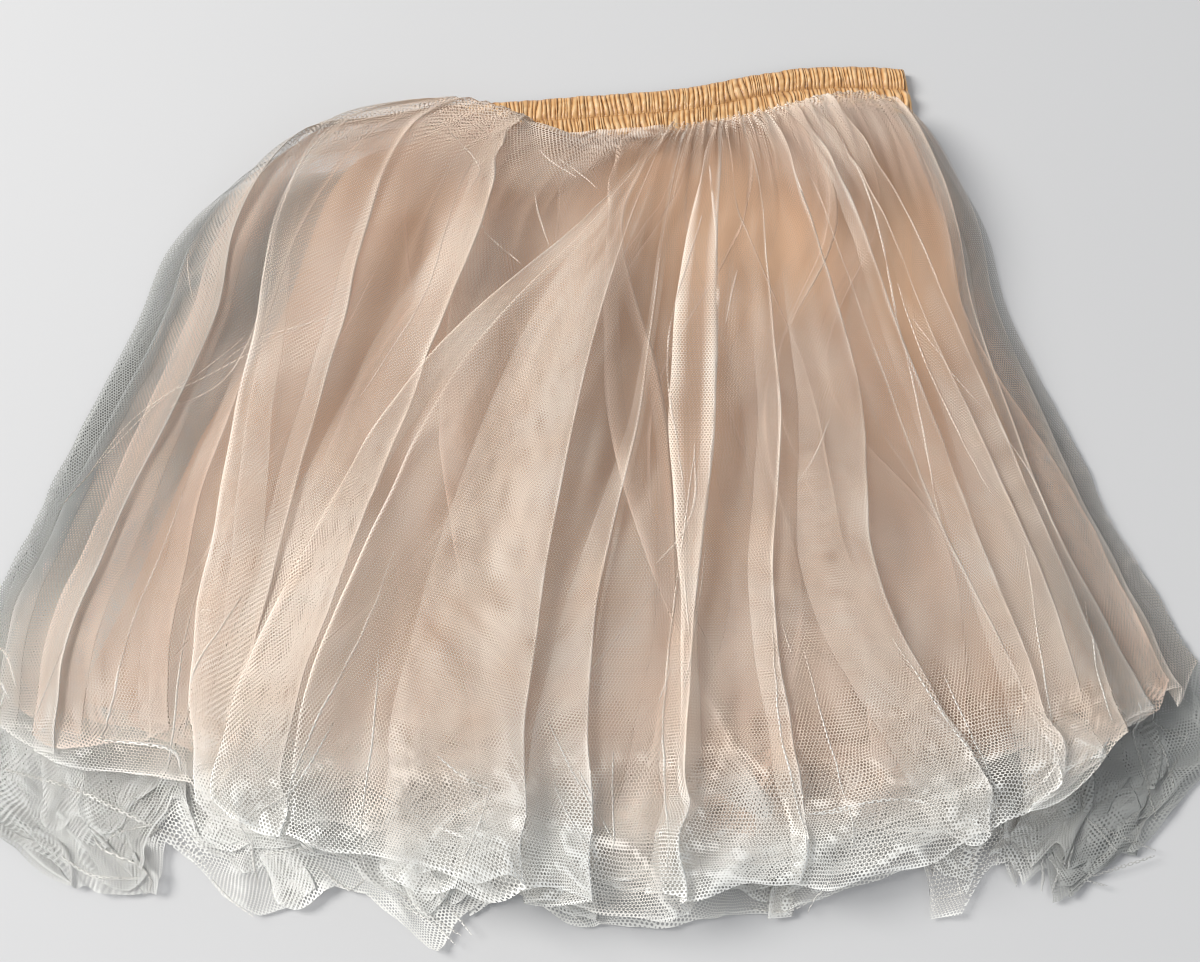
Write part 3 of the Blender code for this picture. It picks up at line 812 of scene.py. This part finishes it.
# And on the crumpled lobes of the back nets below the front's hem.
HEM_CREASES = (
    (35, 915, 95, 920, 170, 950, 2.0), (55, 1000, 75, 1015, 120, 1005, 1.6),
    (100, 965, 100, 980, 130, 990, 1.2), (125, 985, 130, 1005, 115, 1025, 1.0),
    (95, 980, 125, 955, 155, 940, 1.2), (235, 930, 230, 955, 225, 990, 1.4),
    (240, 955, 275, 945, 305, 955, 1.6), (185, 990, 195, 1010, 210, 1025, 1.2),
    (280, 960, 290, 975, 300, 985, 1.6), (330, 940, 315, 970, 300, 985, 1.2),
    (335, 975, 355, 1000, 385, 1025, 1.6), (370, 955, 380, 995, 395, 1025, 1.2),
    (340, 995, 365, 1015, 380, 1035, 1.2), (455, 975, 480, 1005, 490, 1015, 1.0),
    (620, 1010, 650, 1020, 675, 1010, 1.2), (670, 1025, 675, 1005, 680, 1000, 1.0),
    (925, 885, 925, 945, 955, 1015, 1.6), (885, 985, 910, 1015, 930, 1040, 1.7),
    (885, 990, 925, 1020, 965, 1050, 1.6), (835, 990, 845, 1010, 855, 1030, 1.7),
    (855, 1000, 865, 1035, 870, 1055, 1.6), (865, 1020, 880, 1040, 880, 1060, 1.4),
    (910, 1055, 935, 1055, 965, 1055, 1.6), (905, 1055, 920, 1065, 930, 1070, 1.4),
    (890, 915, 880, 930, 880, 945, 1.4), (940, 920, 945, 950, 960, 985, 1.4),
    (965, 930, 955, 955, 950, 980, 1.4), (935, 895, 950, 920, 965, 935, 1.6),
    (810, 990, 825, 990, 840, 990, 1.4), (775, 1035, 790, 1035, 800, 1035, 1.2),
    (785, 1000, 792, 1020, 798, 1035, 1.2), (10, 785, 30, 795, 45, 830, 1.6),
    (15, 815, 35, 835, 30, 860, 1.4), (15, 790, 25, 820, 40, 845, 1.2),
)
CREASE_KNOTS = (0.0, 0.5, 1.0)  # where along a crease its three places are
CREASE_STEP = 0.004
CREASE_RISE, CREASE_FOOT = 0.0007, 0.0001  # a pinch's middle and sides, over the net


def surface_tree(pieces):
    """A search tree over the pieces' faces, to find their top surface."""
    points, faces = [], []
    for piece in pieces:
        first = len(points)
        points += [tuple(v.co) for v in piece.data.vertices]
        faces += [tuple(first + i for i in p.vertices) for p in piece.data.polygons]
    return BVHTree.FromPolygons(points, faces)


def pinched_creases(label, rows, tree):
    """Low tent-shaped pinches that follow the top surface that the tree holds."""
    pieces = []
    for number, row in enumerate(rows):
        line = named(CREASE_COLUMNS, row)
        knots_s = np.array((line.s0, line.s1, line.s2)) / 1000
        knots_t = np.array((line.t0, line.t1, line.t2)) / 1000
        far = np.hypot((knots_s[2] - knots_s[0]) * 0.5, (knots_t[2] - knots_t[0]) * LENGTH)
        share = np.linspace(0, 1, max(5, round(far / CREASE_STEP)))
        s, t = curve(CREASE_KNOTS, knots_s, share), curve(CREASE_KNOTS, knots_t, share)
        wobble = waves(share * far, 0.0, WOBBLE_SEED + number, 0.05, 0.012, LINE_WAVES)
        s = s + 0.0006 * wobble
        x, y = beyond(s, t)
        push, _ = puff(s, t)
        y = y + push
        ahead = np.stack((np.gradient(x), np.gradient(y)), axis=-1)
        ahead /= np.linalg.norm(ahead, axis=1, keepdims=True)
        half = 0.0005 * line.width_mm * np.sin(math.pi * (0.06 + 0.88 * share)) ** 0.5
        rails = []
        for side in (-1, 0, 1):
            rail_x = x + side * half * ahead[:, 1]
            rail_y = y - side * half * ahead[:, 0]
            z = []
            for place_x, place_y in zip(rail_x, rail_y):
                hit = tree.ray_cast((place_x, place_y, 0.2), (0, 0, -1))[0]
                z.append(hit.z if hit else 0.004)
            lift = CREASE_FOOT if side else CREASE_RISE
            rails.append(np.stack((rail_x, rail_y, np.array(z) + lift), axis=-1))
        points = np.array(rails)
        shape = points.shape[:2]
        u = np.broadcast_to(0.0005 * line.width_mm * np.arange(3)[:, None], shape)
        v = np.broadcast_to(share * far, shape)
        strength = waves(share * far, 0.0, STRENGTH_SEED + number, 0.03, 0.01, LINE_WAVES)
        values = {
            "edge": 0.30 + 0.25 * strength,
            "tone": 0.5,
            "cool": 0.2 + 0.7 * ease((t - 0.74) / 0.12),
            "dim": 0.75 * ease((s - 0.80) / 0.08) * ease((t - 0.86) / 0.06),
        }
        values = {key: np.broadcast_to(value, shape) for key, value in values.items()}
        pieces.append(sheet_mesh(f"{label}_{number}", points, plain_uv(u, v), values))
    return pieces


def join(target, pieces):
    """Make the pieces part of the target's mesh."""
    bpy.ops.object.select_all(action="DESELECT")
    for piece in pieces:
        piece.select_set(True)
    target.select_set(True)
    bpy.context.view_layer.objects.active = target
    bpy.ops.object.join()
    target.select_set(False)


nets_tree = surface_tree([piece for _, piece, _ in panels.values()])
CREASED = (
    ("tulle_outer_front", "crease", CREASES),
    ("tulle_outer_back", "hem_crease", HEM_CREASES),
)
for node, label, rows in CREASED:
    join(panels[node][1], pinched_creases(label, rows, nets_tree))

for node, (net, piece, flat) in panels.items():
    piece.data.materials.append(nets[net])
    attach(piece, "root")
    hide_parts(node)

# ---------- the lining

LINING_COLUMNS, LINING_ROWS = 260, 90
LINING_WIDTH = 0.52  # of each panel's cut
LINING_ENDS = (0.085, 0.930)  # s of its sides
LINING_HEM = 0.87  # t of its hem
LINING_PUFF = 0.55  # of the outer net's puff
LINING_LEFT_LIFT = 0.06  # share by which its left end is shorter


def lining_panel(name, front, seed):
    """One panel of the lining, and its cut's width and length."""
    u = np.linspace(0, 1, LINING_COLUMNS)[:, None]
    t = np.linspace(0, LINING_HEM, LINING_ROWS)[None, :]
    left_end = LINING_ENDS[0] + 0.030 * bump(t - GAP_PLACE[1], 0.26)
    s = left_end + u * (LINING_ENDS[1] - left_end)
    t = t + 0 * s
    soft = waves(u * 0.8, t * 0.2, seed, 0.16, 0.04)
    uneven = 0.012 * waves(u * 0.8, 0 * u, seed + 1, 0.3, 0.08)
    longer = 1 + uneven - LINING_LEFT_LIFT * (1 - ease(u / 0.4))
    x, y = layout(s, t * longer)
    if front:
        base, dome = front_height(3, s, t)
        push, lift = puff(s, t)
        y = y + LINING_PUFF * push
        z = base + 0.0016 * (1 + soft) * dome + LINING_PUFF * lift
    else:
        z = 0.0008 + 3 * BACK_PITCH + 0.0004 * (1 + soft)
    points = np.stack((x, y, z), axis=-1)
    piece = sheet_mesh(name, points, plain_uv(u * LINING_WIDTH + 0 * t, t * LENGTH))
    return piece, (LINING_WIDTH, LENGTH * LINING_HEM)


lining_satin = satin_material("lining_satin", (0.75, 0.50, 0.33), (0.62, 0.38, 0.23), 0.42, 6.0)
for side, seed in (("front", 71), ("back", 73)):
    piece, flat = lining_panel(f"satin_lining_{side}", side == "front", seed)
    piece.data.materials.append(lining_satin)
    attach(piece, "root")
    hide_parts(f"lining_{side}")

# ---------- the waistband

BAND_GATHERS = 116
GATHER_COLUMNS = 9  # columns of faces for each gather
BAND_ROWS = 33
PUCKER_BEND = 0.30  # how far a pucker bends, as a share of its width
CHANNEL_BULGE, GATHER_HEIGHT = 0.0012, 0.0026
BAND_CLEAR = 0.0003  # of the waistband above the layer it lies on
BAND_END_STEPS = 9
# The ramp runs from the satin's own gold on a crest to painted shade, dark brown, in a pinched valley.
BAND_COLOURS_AND_SHADE = (  # place on the ramp, from a pucker's crest to a pinched valley, and colour
    (0.00, (0.88, 0.60, 0.32)),
    (0.35, (0.72, 0.41, 0.165)),
    (0.70, (0.41, 0.185, 0.053)),
    (1.00, (0.15, 0.05, 0.009)),
)


def gather_row(u, sides, seed, slant):
    """One channel's gathers, rounded puckers between pinched valleys: their ridge, which sets the painted
    valley shade, and height.
    """
    draw = np.random.default_rng(seed)
    widths = draw.uniform(0.35, 1.9, BAND_GATHERS)
    edges = np.concatenate(([0], np.cumsum(widths))) / widths.sum()
    heights = draw.uniform(0.45, 1.0, BAND_GATHERS + 2)
    lean = draw.uniform(-slant, slant, BAND_GATHERS + 2)
    phase = np.interp(u, edges, np.arange(BAND_GATHERS + 1))[:, None] + 0 * sides
    phase = phase + lean[phase.astype(int)] * sides
    along, over = u[:, None] * WAIST_WIDTH, sides * BAND_HEIGHT / 2
    bent = waves(along, over, seed + 2, 0.040, 0.012)
    phase = np.clip(phase + PUCKER_BEND * bent, 0, BAND_GATHERS)
    ridge = abs(np.sin(math.pi * phase)) ** 0.5
    broken = 0.90 + 0.22 * waves(along, over, seed + 4, 0.012, 0.004)
    height = heights[np.clip(phase.astype(int), 0, BAND_GATHERS)]
    return ridge * np.clip(broken, 0.3, 1), ridge * height * broken


def band_piece():
    """The flattened casing: two rows of fine uneven gathers, pinched by the stitching between them."""
    columns = BAND_GATHERS * GATHER_COLUMNS
    sides = np.linspace(-1, 1, BAND_ROWS)[None, :]
    swell = abs(np.sin(math.pi * sides)) ** 0.6
    u = np.linspace(0, 1, columns + 1)
    upper_ridge, upper = gather_row(u, sides, 3, 0.25)
    lower_ridge, lower = gather_row(u, sides, 7, 0.25)
    crest = np.where(sides > 0, upper, lower)
    # painted shade: darkest in the valleys between puckers, and more so at the stitching and the channel's
    # edges
    valley_shade = 1 - np.where(sides > 0, upper_ridge, lower_ridge) * (0.62 + 0.38 * swell)
    raised = CHANNEL_BULGE * swell + GATHER_HEIGHT * crest * (0.15 + 0.85 * swell)
    along = (u[:, None] - 0.5) * WAIST_WIDTH + 0 * sides
    ruffle = 0.0005 * waves(u * WAIST_WIDTH, 0.0, 31, 0.02, 0.003)[:, None]
    over = sides * (BAND_HEIGHT / 2 + ruffle)
    x, y = waist_point(along, over)
    thick = 2 * BAND_WALL + BAND_SLIT
    top = np.stack((x, y, thick + raised), axis=-1)

    def rounded_end(sign, start):
        """The columns that turn round one end of the tube."""
        made = []
        for angle in np.linspace(0, math.pi, BAND_END_STEPS)[1:-1]:
            out = BAND_FOLD * math.sin(angle)
            end_x, end_y = waist_point(sign * (WAIST_WIDTH / 2 + out) + 0 * over[start], over[start])
            z = (thick + raised[start]) / 2 * (1 + math.cos(angle)) + BAND_CLEAR
            made.append(np.stack((end_x, end_y, z), axis=-1))
        return made

    under = []
    for share in np.linspace(0.5, -0.5, columns // 3):
        under_x, under_y = waist_point(share * WAIST_WIDTH + 0 * sides[0], sides[0] * BAND_HEIGHT / 2)
        lift = BAND_CLEAR + 0.0003 * math.sin(share * 900) + 0.0004 * (1 - swell[0])
        under.append(np.stack((under_x, under_y, lift), axis=-1))
    ends = rounded_end(1, -1), rounded_end(-1, 0)[::-1]
    points = np.concatenate((top, np.array(ends[0]), np.array(under), np.array(ends[1])))
    steps = np.linalg.norm(np.diff(points[:, BAND_ROWS // 2], axis=0), axis=1)
    across = np.broadcast_to(np.concatenate(([0], np.cumsum(steps)))[:, None], points.shape[:2])
    v = np.broadcast_to(sides * BAND_HEIGHT / 2, points.shape[:2])
    # how deep in the painted valley shade each point lies; the underside and ends take one even value
    deep = np.full(points.shape[:2], 0.3)
    deep[: len(top)] = valley_shade
    corner_uv = across, np.roll(across, -1, axis=0), v
    piece = sheet_mesh("satin_waistband", points, corner_uv, {"valley_shade": deep}, cyclic=True)
    return piece, (float(across[-1, 0]), BAND_HEIGHT)


def band_material():
    """Gold satin: its own gold on the puckers, darkening to brown as painted shade in the pinched valleys,
    with a fine weft.
    """
    nodes = Nodes("waistband_satin")
    u, _ = nodes.uv()
    ramp = nodes.add("ShaderNodeValToRGB")
    elements = ramp.color_ramp.elements
    while len(elements) < len(BAND_COLOURS_AND_SHADE):
        elements.new(0.5)
    for element, (place, colour) in zip(elements, BAND_COLOURS_AND_SHADE):
        element.position = place
        element.color = (*colour, 1.0)
    cloud = nodes.noise(160.0, 3.0)
    # painted shade of the valleys, made uneven by the cloud
    valley_shade = nodes.maths("SUBTRACT", nodes.value("valley_shade"), 0.17)
    deep = nodes.maths("MULTIPLY_ADD", cloud, 0.35, valley_shade, clamp=True)
    nodes.link(deep, ramp.inputs["Fac"])
    nodes.link(ramp.outputs["Color"], nodes.surface.inputs["Base Color"])
    weft = nodes.maths("SINE", nodes.maths("MULTIPLY", u, math.tau / BAND_WEFT))
    nodes.satin(nodes.maths("MULTIPLY_ADD", weft, 0.3, nodes.noise(900.0)), 0.3, 0.33)
    return nodes.material


band, band_flat = band_piece()
band.data.materials.append(band_material())
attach(band, "root")
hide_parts("waistband")

# ---------- floor, light and camera

CAMERA_DISTANCE = 0.757
CAMERA_ELEVATION = math.radians(67.6)
CAMERA_TARGET = (0.0, -0.015, 0.0)
CAMERA_LENS = 42.0
FLOOR_SIZE, FLOOR_DROP = 14.0, 0.0006
LIGHTS = (  # name, place, size in metres, watts and colour; each looks at the origin
    ("key", (-3.0, 0.6, 2.6), 2.0, 160.0, (1.0, 0.98, 0.95)),
    ("fill", (1.2, -1.4, 1.8), 1.6, 6.0, (0.93, 0.96, 1.0)),
)
SKY_COLOUR, SKY_STRENGTH = (0.95, 0.97, 1.0, 1.0), 0.42


def stage():
    """The pale paper that the skirt lies on."""
    bpy.ops.mesh.primitive_plane_add(size=FLOOR_SIZE, location=(0, 0, -FLOOR_DROP))
    floor = bpy.context.object
    floor.name = "floor"
    nodes = Nodes("floor_paper")
    paper = nodes.mixed(nodes.noise(1.5), (0.64, 0.643, 0.65), (0.68, 0.683, 0.69))
    nodes.link(paper, nodes.surface.inputs["Base Color"])
    nodes.surface.inputs["Roughness"].default_value = 0.85
    floor.data.materials.append(nodes.material)


def area_light(name, place, size, power, colour):
    """A round light that looks at the origin."""
    light = bpy.data.lights.new(name, "AREA")
    light.shape = "DISK"
    light.size = size
    light.energy = power
    light.color = colour
    made = bpy.data.objects.new(name, light)
    scene.collection.objects.link(made)
    made.location = place
    x, y, z = place
    made.rotation_euler = (math.acos(z / np.linalg.norm(place)), 0, math.atan2(x, -y))


def lights():
    """Soft daylight from the left, a weak fill and an even sky."""
    for row in LIGHTS:
        area_light(*row)
    world = bpy.data.worlds.new("studio")
    world.use_nodes = True
    sky = world.node_tree.nodes["Background"]
    sky.inputs["Color"].default_value = SKY_COLOUR
    sky.inputs["Strength"].default_value = SKY_STRENGTH
    scene.world = world


def camera():
    """The photograph's view, from above the hem."""
    made = bpy.data.objects.new("camera", bpy.data.cameras.new("camera"))
    scene.collection.objects.link(made)
    made.data.lens = CAMERA_LENS
    made.data.clip_start = 0.01
    x, y, z = CAMERA_TARGET
    made.location = (
        x,
        y - CAMERA_DISTANCE * math.cos(CAMERA_ELEVATION),
        z + CAMERA_DISTANCE * math.sin(CAMERA_ELEVATION),
    )
    made.rotation_euler = (math.pi / 2 - CAMERA_ELEVATION, 0, 0)
    scene.camera = made


stage()
lights()
camera()
scene.cycles.filter_width = 1.1
scene.cycles.transparent_max_bounces = 32
scene.cycles.max_bounces = 2
scene.cycles.diffuse_bounces = 2
scene.view_settings.view_transform = "Standard"
